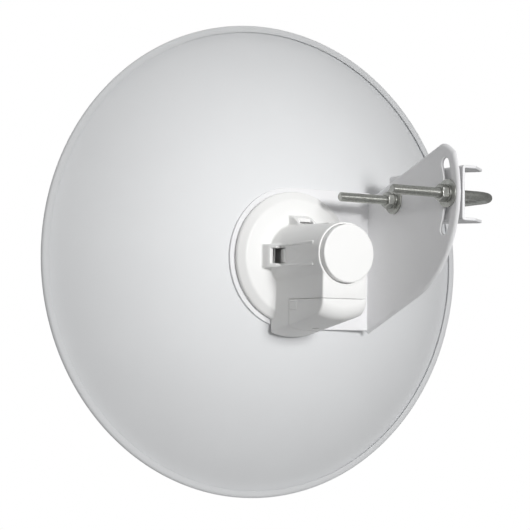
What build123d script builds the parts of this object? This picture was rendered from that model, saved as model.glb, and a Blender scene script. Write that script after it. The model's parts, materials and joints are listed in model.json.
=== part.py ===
from build123d import *
from math import cos, hypot, radians, sin, sqrt, tan
import os

# Outdoor wireless bridge: a parabolic reflector with a rear radio housing and a pole clamp.
# Row frame, millimetres: +Z up, +Y to the rear, and the dish looks along -Y.
# The origin is on the pole's axis, at the height of the clamp's U-bolt.
# The antenna is drawn about its own axis, with y = 0 at the rim, and is then set in place.

# ---------------------------------------------------------------- driving dimensions
RIM_R = 260.0  # outside radius of the rolled rim
FOCAL = 233.0  # focal length of the bowl
SHEET = 1.3  # bowl sheet, measured along the dish axis
BOWL_R = 247.6  # where the bowl meets the rim's flange
ROLL_R = 2.7  # outside radius of the rim's roll
HEM_R = 252.5  # where the rolled hem ends
HUB_FLAT_R = 75.0  # flat seat for the bracket
FEED_HOLE_R = 23.0  # hole through bowl and bracket

BRACKET_T = 3.0  # bracket plate
BRACKET_R = 75.7  # round part of the bracket, and half its height
LEAF_X = 96.0  # dish axis to the arm's inner face
LIP_H = 5.5  # depth of the lip round the arm, plate included
ARM_R = 113.0  # arm's outer edge about the tilt pivot
ARM_TOP_SLOPE = 19.6  # degrees
ARM_LOW_SLOPE = 22.6  # degrees
ARM_APEX_R = 12.0

SHANK_R = 4.5  # the bar that the U-bolt is bent from
THREAD_R = 4.95  # M10 thread rolled on it, at its crests
THREAD_START_X = 30.0
LEG_GAP = 95.0  # between the U-bolt's legs
BOLT_CORNER_R = 36.0  # centre line
POLE_R = 25.0  # pole that the clamp is drawn closed on
PIVOT_W = 110.9  # tilt pivot behind the rim's plane
BOLT_RISE = 63.5  # U-bolt above the dish axis
AXIS_TO_POLE = 136.5  # sideways, dish axis to pole axis
SLOT_UP, SLOT_DOWN = 19.0, 22.0  # degrees, slot's end centres above and below level
SLOT_R = 6.0  # half the slot's width
CLAMP_HOLE_R = 5.5
PIVOT_CLEAR = 0.1

WEB_T = 3.0
CLAMP_H = 56.0
CLAMP_W = 129.4
SHOULDER_X = 18.5  # where the flanges' straight rear edge ends
JAW_X = -2.5  # flange tips
JAW_TIP_Y = 48.0
JAW_HALF_ANGLE = 52.0
JAW_FLOOR_X = 29.0

WASHER_R, WASHER_T, WASHER_HOLE_R = 14.5, 2.0, 5.25
LOCK_R, LOCK_T = 9.3, 2.0
NUT_FLATS, NUT_T, NUT_CLEAR = 16.0, 8.0, 0.05
ROD_END_X = 109.5

HOUSING_R = 70.5  # foot of the rear housing
WALL = 2.4
TUBE_R_FRONT, TUBE_R_REAR = 36.4, 31.9
TUBE_Y, END_Y = 74.0, 165.0
BASE_EDGE_Y, BASE_FACE_Y, BASE_FACE_R = 66.3, 72.0, 62.0
GASKET_T = 1.0
SKIRT_HALF = 26.2
SKIRT_Y, SKIRT_R, SKIRT_TAPER = 63.0, 84.0, 0.19
SKIRT_ROUND = 12.0
LUG_R, LUG_HALF = 46.0, 12.2
RECESS_X, RECESS_HALF = 31.6, 10.0
WINDOW_HALF = 8.0
WINDOW_Y = (84.0, 99.0)
GUIDE_X = 29.4
SKIRT_EDGE = 1.6
COVER_Y, COVER_Z, SPLIT = 99.0, -45.0, 0.3
CABLE_R, CABLE_Y = 3.25, 110.0
TONGUE_Y, TONGUE_X = (120.0, 135.0), (22.0, 23.5)
PAD_Y, PAD_RISE = (101.0, 115.0), 0.6
POST_R, POST_HOLE_R, BOSS_R = 3.0, 1.25, 4.6

BUTTON_R, BUTTON_Y, BUTTON_FRONT_Y = 29.5, 172.0, 157.0
BUTTON_TRAVEL, BUTTON_T, GUIDE_R = 3.5, 2.0, 4.5
BULKHEAD_Y, BULKHEAD_T = 148.0, 2.5
LATCH_R, LATCH_T, LATCH_HALF, LATCH_Y = 26.0, 2.0, 7.4, 84.0
HOOK_Y = (95.0, 98.8)

SCREW_PITCH_R, SCREW_R = 46.0, 1.95
FEED_R, FEED_REAR_Y, FEED_FRONT_Y = 19.0, 79.0, -62.0
FLARE_Y, TIP_R, TIP_Y = -40.0, 33.0, -80.0
FEED_WALL = 2.0
SOCKET_R, SOCKET_T, SOCKET_REAR_Y, FEED_PLAY = 56.0, 3.2, 76.0, 0.35
SEAL_R, SEAL_SEAT = 22.35, 1.0
HEAD_R, HEAD_T, DRIVE_R = 4.0, 2.4, 1.5

BOARD_X, BOARD_T = -8.0, 1.6
BOARD_Y = (84.0, 146.0)
BOARD_Z = (-42.0, 22.0)
JACK_Y, JACK_H, JACK_W, JACK_DEEP, JACK_FACE_Z = 110.0, 13.5, 16.0, 22.0, -44.0
RESET_Y, RESET_R = 128.0, 1.5

# ---------------------------------------------------------------- derived places
FLANGE_Y = ROLL_R - SHEET  # depth of the flange's rear face below the roll's middle
PIVOT_Y = -LEG_GAP / 2
ANTENNA = Location((AXIS_TO_POLE, PIVOT_Y - PIVOT_W, -BOLT_RISE))
PLATE_X = AXIS_TO_POLE - LEAF_X  # arm's inner face, row frame
LIP_X = PLATE_X - LIP_H
WEB_X = LIP_X - WEB_T


def bowl_y(radius):
    """Rear face of the bowl, so that it meets the flange at BOWL_R."""
    return -FLANGE_Y + (BOWL_R**2 - radius**2) / (4 * FOCAL)


HUB_Y = bowl_y(HUB_FLAT_R)
PLATE_Y = HUB_Y + BRACKET_T
FOOT_Y = PLATE_Y + GASKET_T
SOCKET_Y = HUB_Y - SHEET - SOCKET_T

# ---------------------------------------------------------------- helpers
ALONG_X = Rot(Y=90)
ALONG_Y = Rot(X=-90)
SIDE = Plane((0, 0, 0), x_dir=(0, 1, 0), z_dir=(1, 0, 0)).location  # draws (y, z), extrudes along x


def turned(*outline):
    """Solid of revolution about the dish axis; the outline lists (radius, y) corners."""
    return revolve(make_face(Polyline(*outline, close=True)), Axis.Y)


def tube(outer, inner, y0, y1):
    return turned((inner, y0), (outer, y0), (outer, y1), (inner, y1))


def block(x, y, z):
    """Box from three (low, high) pairs."""
    spans = [(min(s), max(s)) for s in (x, y, z)]
    size = [high - low for low, high in spans]
    return Pos(*[low for low, high in spans]) * Box(*size, align=(Align.MIN,) * 3)


def rod(x, y, z, radius, axis=ALONG_X):
    """Cylinder along one axis; that axis's entry is a (low, high) pair."""
    low, high = next((min(v), max(v)) for v in (x, y, z) if isinstance(v, tuple))
    start = [min(v) if isinstance(v, tuple) else v for v in (x, y, z)]
    bar = Cylinder(radius, high - low, align=(Align.CENTER, Align.CENTER, Align.MIN))
    return Pos(*start) * axis * bar


def around(shape, angles):
    """Copies of a shape turned about the dish axis."""
    return [Rot(Y=angle) * shape for angle in angles]


def placed(*shapes):
    """Set antenna shapes in the row frame."""
    return [ANTENNA * shape for shape in shapes]


def write(node, *shapes):
    solids = [solid for shape in shapes for solid in shape.solids()]
    body = solids[0] if len(solids) == 1 else Compound(children=solids)
    export_step(body, f"parts/{node}.step")


# ---------------------------------------------------------------- reflector and bracket
def bowl_curve(shift):
    """The bowl's parabola between the hub and the flange, as one exact quadratic curve."""
    y_hub, y_edge = bowl_y(HUB_FLAT_R) + shift, bowl_y(BOWL_R) + shift
    middle = (HUB_FLAT_R + BOWL_R) / 2
    slope = HUB_FLAT_R / (2 * FOCAL)
    knot = (middle, y_hub - slope * (middle - HUB_FLAT_R))
    return Bezier((HUB_FLAT_R, y_hub), knot, (BOWL_R, y_edge))


def dish_reflector():
    rear, front = bowl_curve(0), bowl_curve(-SHEET)
    bend = RIM_R - ROLL_R
    inner = ROLL_R - SHEET
    edges = [
        Line((FEED_HOLE_R, HUB_Y), rear @ 0),
        rear,
        Line(rear @ 1, (bend, -inner)),
        ThreePointArc((bend, -inner), (bend + inner, 0), (bend, inner)),
        Line((bend, inner), (HEM_R, inner)),
        Line((HEM_R, inner), (HEM_R, ROLL_R)),
        Line((HEM_R, ROLL_R), (bend, ROLL_R)),
        ThreePointArc((bend, ROLL_R), (RIM_R, 0), (bend, -ROLL_R)),
        Line((bend, -ROLL_R), front @ 1),
        front,
        Line(front @ 0, (FEED_HOLE_R, HUB_Y - SHEET)),
        Line((FEED_HOLE_R, HUB_Y - SHEET), (FEED_HOLE_R, HUB_Y)),
    ]
    bowl = revolve(Face(Wire(edges)), Axis.Y)
    return bowl - screw_holes(HUB_Y - SHEET - 1, HUB_Y + 1)


def screw_holes(y0, y1, radius=SCREW_R + 0.2):
    hole = rod(SCREW_PITCH_R, (y0, y1), 0, radius, ALONG_Y)
    return around(hole, (45, 135, 225, 315))


def arm_outline():
    """Edge of the arm seen from the side, with x along the dish axis and y up."""
    slope = tan(radians(ARM_TOP_SLOPE))
    top = Vector(74.7, 74.5)
    reach = Vector(top.X + 125, top.Y + 125 * slope)
    pivot = Vector(PIVOT_W, BOLT_RISE)
    low = radians(ARM_LOW_SLOPE)
    touch = pivot + ARM_R * Vector(sin(low), -cos(low))
    run = (touch.X - PLATE_Y) / cos(low)
    foot = touch - run * Vector(cos(low), sin(low))
    head = Polyline((PLATE_Y, BRACKET_R - 1), (top.X, top.Y), (reach.X, reach.Y))
    round_edge = pivot + ARM_R * Vector(cos(radians(22)), sin(radians(22)))
    middle = pivot + ARM_R * Vector(cos(radians(-20)), sin(radians(-20)))
    edges = [
        *head.edges(),
        Line(reach, round_edge),
        ThreePointArc(round_edge, middle, touch),
        Line(touch, foot),
        Line(foot, (PLATE_Y, BRACKET_R - 1)),
    ]
    face = Face(Wire(edges))
    tips = [v for v in face.vertices() if (Vector(v.X, v.Y) - reach).length < 1]
    return fillet(face.vertices().filter_by(lambda v: v in tips), ARM_APEX_R)


def mount_bracket():
    disc = rod(0, (HUB_Y, PLATE_Y), 0, BRACKET_R, ALONG_Y)
    ear = block((0, -LEAF_X - BRACKET_T), (HUB_Y, PLATE_Y), (-BRACKET_R, BRACKET_R))
    fold = block(
        (-LEAF_X, -LEAF_X - BRACKET_T), (HUB_Y, PLATE_Y + 0.5), (-BRACKET_R + 2, BRACKET_R - 2)
    )
    face = arm_outline()
    at_lip = Pos(-LEAF_X - LIP_H, 0, 0)
    arm = at_lip * SIDE * extrude(face, LIP_H, dir=(0, 0, 1))
    hollow = at_lip * SIDE * extrude(offset(face, -BRACKET_T), LIP_H - BRACKET_T, dir=(0, 0, 1))
    open_end = block(
        (-LEAF_X - LIP_H, -LEAF_X - BRACKET_T), (HUB_Y, PLATE_Y + 8), (-BRACKET_R - 8, BRACKET_R + 8)
    )
    plate = disc + ear + fold + (arm - hollow - open_end)
    reach = (-LEAF_X - LIP_H - 1, -LEAF_X + 1)
    plate -= rod(reach, PIVOT_W, BOLT_RISE, THREAD_R + PIVOT_CLEAR)
    plate -= tilt_slot(reach)
    plate -= rod(0, (HUB_Y - 1, PLATE_Y + 1), 0, FEED_HOLE_R, ALONG_Y)
    return plate - screw_holes(HUB_Y - 1, PLATE_Y + 1)


def tilt_slot(reach):
    """Curved slot about the pivot that the U-bolt's rear leg runs in."""

    def on_arc(radius, angle):
        return (radius * cos(radians(angle)), radius * sin(radians(angle)))

    inner, outer = LEG_GAP - SLOT_R, LEG_GAP + SLOT_R
    edges = [
        ThreePointArc(on_arc(outer, -SLOT_DOWN), on_arc(outer, 0), on_arc(outer, SLOT_UP)),
        Line(on_arc(outer, SLOT_UP), on_arc(inner, SLOT_UP)),
        ThreePointArc(on_arc(inner, SLOT_UP), on_arc(inner, 0), on_arc(inner, -SLOT_DOWN)),
        Line(on_arc(inner, -SLOT_DOWN), on_arc(outer, -SLOT_DOWN)),
    ]
    face = SIDE * extrude(Face(Wire(edges)), reach[1] - reach[0], dir=(0, 0, 1))
    ends = []
    for angle in (SLOT_UP, -SLOT_DOWN):
        y, z = on_arc(LEG_GAP, angle)
        ends.append(rod(reach, PIVOT_W + y, BOLT_RISE + z, SLOT_R))
    return [Pos(reach[0], PIVOT_W, BOLT_RISE) * face, *ends]


# ---------------------------------------------------------------- pole clamp
LEGS_Y = (PIVOT_Y, PIVOT_Y + LEG_GAP)


def clamp_flange():
    """One horizontal jaw plate, seen from above, with its notch for the pole."""
    reach = tan(radians(JAW_HALF_ANGLE))
    vertex = POLE_R / sin(radians(JAW_HALF_ANGLE))
    half = [
        (LIP_X, CLAMP_W / 2),
        (SHOULDER_X, CLAMP_W / 2),
        (JAW_X, JAW_TIP_Y),
        (JAW_X, (vertex - JAW_X) * reach),
        (JAW_FLOOR_X, (vertex - JAW_FLOOR_X) * reach),
    ]
    outline = half + [(x, -y) for x, y in reversed(half)]
    return extrude(make_face(Polyline(*outline, close=True)), WEB_T)


def pole_bracket():
    web = block((WEB_X, LIP_X), (-CLAMP_W / 2, CLAMP_W / 2), (-CLAMP_H / 2, CLAMP_H / 2))
    jaws = [Pos(0, 0, z) * clamp_flange() for z in (-CLAMP_H / 2, CLAMP_H / 2 - WEB_T)]
    channel = web + jaws
    bends = channel.edges().filter_by(Axis.Y).group_by(Axis.X)[-1]
    channel = fillet(bends, WEB_T)
    holes = [rod((WEB_X - 1, LIP_X + 1), y, 0, CLAMP_HOLE_R) for y in LEGS_Y]
    return channel - holes


def u_bolt():
    apex = -POLE_R - SHANK_R
    path = FilletPolyline(
        (THREAD_START_X, LEGS_Y[1], 0),
        (apex, LEGS_Y[1], 0),
        (apex, LEGS_Y[0], 0),
        (THREAD_START_X, LEGS_Y[0], 0),
        radius=BOLT_CORNER_R,
    )
    section = Plane((THREAD_START_X, LEGS_Y[1], 0), z_dir=(-1, 0, 0)) * Circle(SHANK_R)
    loop = sweep(section, path=path)
    leg = Cylinder(THREAD_R, ROD_END_X - THREAD_START_X, align=(Align.CENTER, Align.CENTER, Align.MIN))
    leg = chamfer(leg.edges().filter_by(GeomType.CIRCLE), THREAD_R - SHANK_R)
    return loop + [Pos(THREAD_START_X, y, 0) * ALONG_X * leg for y in LEGS_Y]


def disc_on_leg(y, x0, thick, radius):
    disc = rod((x0, x0 + thick), y, 0, radius)
    return disc - rod((x0 - 1, x0 + thick + 1), y, 0, WASHER_HOLE_R)


def nut(y):
    x0 = PLATE_X + WASHER_T + LOCK_T
    corner_r = NUT_FLATS / sqrt(3)
    prism = extrude(RegularPolygon(corner_r, 6), NUT_T)
    barrel = Cylinder(corner_r, NUT_T, align=(Align.CENTER, Align.CENTER, Align.MIN))
    barrel = chamfer(barrel.edges().filter_by(GeomType.CIRCLE), 0.7)
    bore = rod((x0 - 1, x0 + NUT_T + 1), y, 0, THREAD_R + NUT_CLEAR)
    return Pos(x0, y, 0) * ALONG_X * (prism & barrel) - bore


# ---------------------------------------------------------------- rear housing
def skirt_solid(inset=0.0):
    """The squared-off lower body: a box cut to a cone about the dish axis, with a round rear edge."""

    def radius(y):
        return SKIRT_R - inset - (y - SKIRT_Y) * SKIRT_TAPER

    rear = END_Y - inset
    outline = [(0, SKIRT_Y), (radius(SKIRT_Y), SKIRT_Y), (radius(rear), rear), (0, rear)]
    face = make_face(Polyline(*outline, close=True))
    corner = face.vertices().sort_by(lambda v: hypot(v.X - radius(rear), v.Y - rear))[0]
    cone = revolve(fillet(corner, SKIRT_ROUND - inset), Axis.Y)
    half = SKIRT_HALF - inset
    body = cone & block((-half, half), (SKIRT_Y, END_Y), (-SKIRT_R - 5, -10 if inset else 0))
    if inset:
        return body
    rims = body.edges().filter_by(lambda e: abs(e.center().X) > half - 0.01 and e.center().Z < -20)
    return fillet([e for e in rims if e.center().Y > SKIRT_Y + 1], SKIRT_EDGE)


def lug():
    """Raised guide block with its window and flat, drawn on the +x side."""
    outline = [(20, 67), (LUG_R, 67), (LUG_R, 83), (39, 90), (30, 112), (20, 112)]
    return Pos(0, 0, -LUG_HALF) * extrude(make_face(Polyline(*outline, close=True)), 2 * LUG_HALF)


def lug_cut():
    """The flat, the latch's window, and the room under the guide block's skin."""
    flat = block((RECESS_X, LUG_R + 5), (90, END_Y + 1), (-RECESS_HALF, RECESS_HALF))
    window = block((24, LUG_R - 6), WINDOW_Y, (-WINDOW_HALF, WINDOW_HALF))
    skin_r = LUG_R - WALL
    outline = [(24, 76), (skin_r, 76), (skin_r, 80.6), (36.6, 87.6), (35.4, 90.5), (24, 90.5)]
    under = extrude(make_face(Polyline(*outline, close=True)), 2 * WINDOW_HALF)
    return flat + window + Pos(0, 0, -WINDOW_HALF) * under


def guide_pad():
    """Thick strip behind the flat, so that the flat never breaks into the bore."""
    return block((GUIDE_X, RECESS_X), (BASE_FACE_Y, BUTTON_FRONT_Y - 4), (-LUG_HALF, LUG_HALF))


LUG_ANGLES = (0, -90, 180)
COVER_SPACE = block((-40, 40), (COVER_Y, END_Y + 5), (-SKIRT_R - 5, COVER_Z))
BOARD_POSTS = ((143.0, 17.0), (143.0, -17.0), (88.0, -30.0))
POST_ROOT_X = (-26.5, -26.5, -25.0)


def housing_hollow():
    base = turned(
        (0, FOOT_Y - 1),
        (HOUSING_R - 3, FOOT_Y - 1),
        (HOUSING_R - 3, BASE_EDGE_Y - 0.8),
        (BASE_FACE_R - 1.5, BASE_FACE_Y - WALL),
        (0, BASE_FACE_Y - WALL + 1.5),
    )
    bore = turned(
        (0, BASE_FACE_Y - WALL),
        (TUBE_R_FRONT - WALL, BASE_FACE_Y - WALL),
        (TUBE_R_FRONT - WALL, TUBE_Y),
        (BUTTON_R + 0.4, BUTTON_FRONT_Y - 3),
        (BUTTON_R + 0.4, END_Y + 1),
        (0, END_Y + 1),
    )
    return base + bore + skirt_solid(WALL)


def rear_housing():
    outer = turned(
        (0, FOOT_Y),
        (HOUSING_R, FOOT_Y),
        (HOUSING_R, BASE_EDGE_Y),
        (BASE_FACE_R, BASE_FACE_Y),
        (TUBE_R_FRONT, TUBE_Y),
        (TUBE_R_REAR, END_Y),
        (0, END_Y),
    )
    shell = outer + skirt_solid() + around(lug(), LUG_ANGLES)
    shell -= housing_hollow()
    shell += around(guide_pad(), LUG_ANGLES)
    shell -= around(lug_cut(), LUG_ANGLES)
    shell -= COVER_SPACE
    inside = skirt_solid(WALL)
    floor = inside & block((-30, 30), (COVER_Y - WALL, END_Y), (COVER_Z, COVER_Z + WALL))
    wall = inside & block((-30, 30), (COVER_Y - WALL, COVER_Y), (-SKIRT_R, COVER_Z + WALL))
    shell += floor + wall
    shell += rod(0, (BULKHEAD_Y, BULKHEAD_Y + BULKHEAD_T), 0, TUBE_R_REAR - 1, ALONG_Y)
    posts = [
        rod((root, BOARD_X), y, z, POST_R) for (y, z), root in zip(BOARD_POSTS, POST_ROOT_X)
    ]
    boss = rod(SCREW_PITCH_R, (PLATE_Y, BASE_FACE_Y - 1), 0, BOSS_R, ALONG_Y)
    shell += posts + around(boss, (45, 135, 225, 315))
    shell -= screw_holes(PLATE_Y - 1, BASE_FACE_Y - 2.5, SCREW_R + 0.05)
    shell -= [rod((BOARD_X - 7, BOARD_X + 1), y, z, POST_HOLE_R) for y, z in BOARD_POSTS]
    slot = block(
        (LATCH_R - 0.5, LATCH_R + LATCH_T + 0.5),
        (BULKHEAD_Y - 1, BULKHEAD_Y + BULKHEAD_T + 1),
        (-LATCH_HALF - 0.5, LATCH_HALF + 0.5),
    )
    shell -= around(slot, LUG_ANGLES)
    shell -= jack_block(0.3, COVER_Z - 1, COVER_Z + WALL + 1)
    shell -= rod(0, RESET_Y, (COVER_Z - 1, COVER_Z + WALL + 1), RESET_R + 0.3, Rot())
    room_y = (TONGUE_Y[0] - 0.4, TONGUE_Y[1] + 0.4)
    room = inside & block((TONGUE_X[0] - 0.4, 30), room_y, (COVER_Z - 1, COVER_Z + WALL + 1))
    return shell - [room, mirror(room, Plane.YZ)]


def port_cover():
    space = block((-40, 40), (COVER_Y + SPLIT, END_Y + 5), (-SKIRT_R - 5, COVER_Z - SPLIT))
    shell = (skirt_solid() - skirt_solid(WALL)) & space
    tongue = block(TONGUE_X, TONGUE_Y, (COVER_Z + 7, COVER_Z - 6))
    root = block((TONGUE_X[0], SKIRT_HALF - 1), TONGUE_Y, (COVER_Z - SPLIT, COVER_Z - 6))
    pad = block((SKIRT_HALF - 1, SKIRT_HALF + PAD_RISE), PAD_Y, (COVER_Z - 11, COVER_Z - 1.5))
    side = tongue + root + pad
    shell += [side, mirror(side, Plane.YZ)]
    return shell - rod(0, CABLE_Y, (-SKIRT_R - 5, -60), CABLE_R, Rot())


# ---------------------------------------------------------------- release button
def release_button():
    inner_y = BUTTON_Y - BUTTON_T
    cup = tube(BUTTON_R, BUTTON_R - BUTTON_T, BUTTON_FRONT_Y, inner_y)
    face = turned(
        (0, inner_y),
        (BUTTON_R, inner_y),
        (BUTTON_R, BUTTON_Y - 1),
        (BUTTON_R - 1.2, BUTTON_Y),
        (0, BUTTON_Y),
    )
    guide_y = BULKHEAD_Y + BULKHEAD_T + BUTTON_TRAVEL + 0.5
    guide = rod(0, (guide_y, BUTTON_Y - 1), 0, GUIDE_R, ALONG_Y)
    leg = block((LATCH_R, LATCH_R + LATCH_T), (LATCH_Y, BUTTON_Y - 1), (-LATCH_HALF, LATCH_HALF))
    hook = block((LATCH_R, RECESS_X), HOOK_Y, (-LATCH_HALF, LATCH_HALF))
    return cup + face + guide + around(leg + hook, LUG_ANGLES)


def button_spring():
    """Coil spring between the bulkhead and the button's face."""
    wire, radius = 0.6, 8.0
    y0, y1 = BULKHEAD_Y + BULKHEAD_T + wire, BUTTON_Y - BUTTON_T - wire
    coil = Helix(pitch=(y1 - y0) / 4, height=y1 - y0, radius=radius)
    section = Plane(coil @ 0, z_dir=coil % 0) * Circle(wire)
    return Pos(0, y0, 0) * ALONG_Y * sweep(section, path=coil)


# ---------------------------------------------------------------- feed
def hub_gasket():
    return tube(HOUSING_R - 0.5, HOUSING_R - 4.5, PLATE_Y, FOOT_Y)


def feed_socket():
    """Front ring with the collar that guides the feed through bowl and bracket."""
    front = SOCKET_Y + SOCKET_T
    ring = tube(SOCKET_R, FEED_R + FEED_PLAY, SOCKET_Y, front)
    collar = tube(FEED_HOLE_R - 0.3, FEED_R + FEED_PLAY, SOCKET_Y, SOCKET_REAR_Y)
    seat = tube(SEAL_R + 0.05, FEED_R, SOCKET_Y - 0.8, front - SEAL_SEAT)
    return ring + collar - seat - screw_holes(SOCKET_Y - 0.8, front + 1)


def feed_seal():
    """Rubber ring in the socket's mouth, just clear of the sliding feed."""
    return tube(SEAL_R, FEED_R + 0.3, SOCKET_Y + 0.1, SOCKET_Y + SOCKET_T - SEAL_SEAT)


def hub_screw():
    head = rod(SCREW_PITCH_R, (SOCKET_Y - HEAD_T, SOCKET_Y), 0, HEAD_R, ALONG_Y)
    shank = rod(SCREW_PITCH_R, (SOCKET_Y, BASE_FACE_Y - 3), 0, SCREW_R, ALONG_Y)
    drive = rod(SCREW_PITCH_R, (SOCKET_Y - 3, SOCKET_Y - 1), 0, DRIVE_R, ALONG_Y)
    return head + shank - drive


def feed_tube():
    outside = turned(
        (0, FEED_REAR_Y),
        (FEED_R, FEED_REAR_Y),
        (FEED_R, FLARE_Y),
        (TIP_R, FEED_FRONT_Y),
        (0, FEED_FRONT_Y),
    )
    inner_r, rear = FEED_R - FEED_WALL, FEED_REAR_Y - FEED_WALL
    inside = turned(
        (0, rear),
        (inner_r, rear),
        (inner_r, FLARE_Y - 1),
        (TIP_R - 2.6, FEED_FRONT_Y - 1),
        (0, FEED_FRONT_Y - 1),
    )
    return outside - inside


def feed_cap():
    outer = turned(
        (0, FEED_FRONT_Y),
        (TIP_R, FEED_FRONT_Y),
        (TIP_R, TIP_Y + 5),
        (TIP_R - 5, TIP_Y),
        (0, TIP_Y),
    )
    inner_r, front = TIP_R - FEED_WALL, TIP_Y + FEED_WALL
    room = turned(
        (0, FEED_FRONT_Y + 1),
        (inner_r, FEED_FRONT_Y + 1),
        (inner_r, front + 4),
        (inner_r - 4, front),
        (0, front),
    )
    return outer - room


def sub_reflector():
    edge, front, rear = TIP_R - FEED_WALL - 0.3, TIP_Y + 6.8, TIP_Y + 8
    return turned((0, rear + 3), (6, rear), (edge, rear), (edge, front), (0, front))


def waveguide():
    return tube(12.5, 11.3, -56, FEED_REAR_Y - FEED_WALL)


def radiator():
    return turned((0, 66), (11.2, 66), (11.2, 67.2), (0, 67.2))


# ---------------------------------------------------------------- radio
def radio_board():
    board = block((BOARD_X, BOARD_X + BOARD_T), BOARD_Y, BOARD_Z)
    return board - [rod((BOARD_X - 1, BOARD_X + 3), y, z, 1.5) for y, z in BOARD_POSTS]


def board_screw(y, z):
    face = BOARD_X + BOARD_T
    return rod((face, face + 1.6), y, z, 2.4) + rod((BOARD_X - 6, face), y, z, 1.2)


def shield_can():
    can = block((BOARD_X, BOARD_X - 4), (90, 134), (-14, 16))
    return can - block((BOARD_X + 1, BOARD_X - 3.7), (90.3, 133.7), (-13.7, 15.7))


def thermal_pad():
    return block((BOARD_X - 4, BOARD_X - 5), (94, 130), (-10, 12))


def heat_spreader():
    return block((BOARD_X - 5, BOARD_X - 7), (91, 138), (-19, 19))


def jack_block(grow, z0, z1):
    face = BOARD_X + BOARD_T
    return block(
        (face - (grow if grow else 0), face + JACK_H + grow),
        (JACK_Y - JACK_W / 2 - grow, JACK_Y + JACK_W / 2 + grow),
        (z0, z1),
    )


def ethernet_jack():
    body = jack_block(0, JACK_FACE_Z, JACK_FACE_Z + JACK_DEEP)
    x = BOARD_X + BOARD_T + JACK_H / 2
    mouth = block((x - 4, x + 4), (JACK_Y - 6, JACK_Y + 6), (JACK_FACE_Z - 1, JACK_FACE_Z + 14))
    key = block((x + 3, x + 5.6), (JACK_Y - 3, JACK_Y + 3), (JACK_FACE_Z - 1, JACK_FACE_Z + 12))
    return body - mouth - key


def reset_button():
    stem = rod(0, RESET_Y, (COVER_Z - 1.5, COVER_Z + WALL + 4), RESET_R, Rot())
    collar = rod(0, RESET_Y, (COVER_Z + WALL + 0.1, COVER_Z + WALL + 1.2), RESET_R + 1.2, Rot())
    return stem + collar


# ---------------------------------------------------------------- nodes
os.makedirs("parts", exist_ok=True)

ON_CLAMP = {
    "pole_bracket": [pole_bracket()],
    "flat_washers": [disc_on_leg(y, PLATE_X, WASHER_T, WASHER_R) for y in LEGS_Y],
    "lock_washers": [disc_on_leg(y, PLATE_X + WASHER_T, LOCK_T, LOCK_R) for y in LEGS_Y],
    "u_bolt": [u_bolt()],
    "nut_front": [nut(LEGS_Y[0])],
    "nut_rear": [nut(LEGS_Y[1])],
}
ON_ANTENNA = {
    "dish_reflector": [dish_reflector()],
    "mount_bracket": [mount_bracket()],
    "hub_gasket": [hub_gasket()],
    "rear_housing": [rear_housing()],
    "port_cover": [port_cover()],
    "release_button": [release_button()],
    "button_spring": [button_spring()],
    "feed_socket": [feed_socket()],
    "feed_seal": [feed_seal()],
    "hub_screws": around(hub_screw(), (45, 135, 225, 315)),
    "feed_tube": [feed_tube()],
    "feed_cap": [feed_cap()],
    "sub_reflector": [sub_reflector()],
    "waveguide": [waveguide()],
    "radiator": [radiator()],
    "radio_board": [radio_board()],
    "board_screws": [board_screw(y, z) for y, z in BOARD_POSTS],
    "shield_can": [shield_can()],
    "thermal_pad": [thermal_pad()],
    "heat_spreader": [heat_spreader()],
    "ethernet_jack": [ethernet_jack()],
    "reset_button": [reset_button()],
}

for node, shapes in ON_CLAMP.items():
    write(node, *shapes)
for node, shapes in ON_ANTENNA.items():
    write(node, *placed(*shapes))
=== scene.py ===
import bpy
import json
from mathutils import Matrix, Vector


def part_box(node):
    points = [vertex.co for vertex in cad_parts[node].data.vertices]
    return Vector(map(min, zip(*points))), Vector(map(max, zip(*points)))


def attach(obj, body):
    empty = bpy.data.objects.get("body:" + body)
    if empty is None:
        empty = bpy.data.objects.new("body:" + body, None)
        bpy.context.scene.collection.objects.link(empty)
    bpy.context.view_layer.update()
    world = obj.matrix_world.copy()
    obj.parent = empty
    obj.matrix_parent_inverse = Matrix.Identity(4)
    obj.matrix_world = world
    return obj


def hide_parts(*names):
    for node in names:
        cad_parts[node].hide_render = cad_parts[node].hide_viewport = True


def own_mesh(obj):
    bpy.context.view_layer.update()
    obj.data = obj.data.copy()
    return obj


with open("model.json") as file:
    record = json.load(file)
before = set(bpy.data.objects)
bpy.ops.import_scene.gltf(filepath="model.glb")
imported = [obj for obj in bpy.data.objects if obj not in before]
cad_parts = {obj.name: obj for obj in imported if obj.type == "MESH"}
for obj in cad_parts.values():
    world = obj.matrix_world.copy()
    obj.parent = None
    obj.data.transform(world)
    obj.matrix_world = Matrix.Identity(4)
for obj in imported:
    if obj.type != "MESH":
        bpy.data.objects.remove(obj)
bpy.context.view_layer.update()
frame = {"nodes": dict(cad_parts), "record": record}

import json
import math

import bmesh
import bpy
import numpy as np
import openvdb
from mathutils import Matrix, Vector

# Outdoor wireless bridge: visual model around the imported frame.
# Shapes are worked out in millimetres and written to the meshes in metres.
# Antenna pieces are drawn about the dish's own axis: x and z across it, y along it,
# with y = 0 in the middle of the rolled rim and +y to the rear.
MM = 0.001

# ---------------------------------------------------------------- places, from the frame
dish_low, dish_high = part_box("dish_reflector")
plate_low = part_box("mount_bracket")[0]
shell_low, shell_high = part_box("rear_housing")
cap_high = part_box("release_button")[1]
bolt_low, bolt_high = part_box("u_bolt")
clamp_low, clamp_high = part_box("pole_bracket")
washer_low, washer_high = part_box("flat_washers")
lock_low, lock_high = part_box("lock_washers")
nut_low, nut_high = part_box("nut_front")
rear_nut_low, rear_nut_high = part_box("nut_rear")

RIM_R = (dish_high.x - dish_low.x) / 2 / MM
ROLL_R = 2.7
AXIS = Vector(
    (
        (dish_low.x + dish_high.x) / 2 / MM,
        dish_low.y / MM + ROLL_R,
        (dish_low.z + dish_high.z) / 2 / MM,
    )
)


def local(node):
    """A CAD node's box in the antenna's own millimetres."""
    low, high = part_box(node)
    return low / MM - AXIS, high / MM - AXIS


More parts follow.
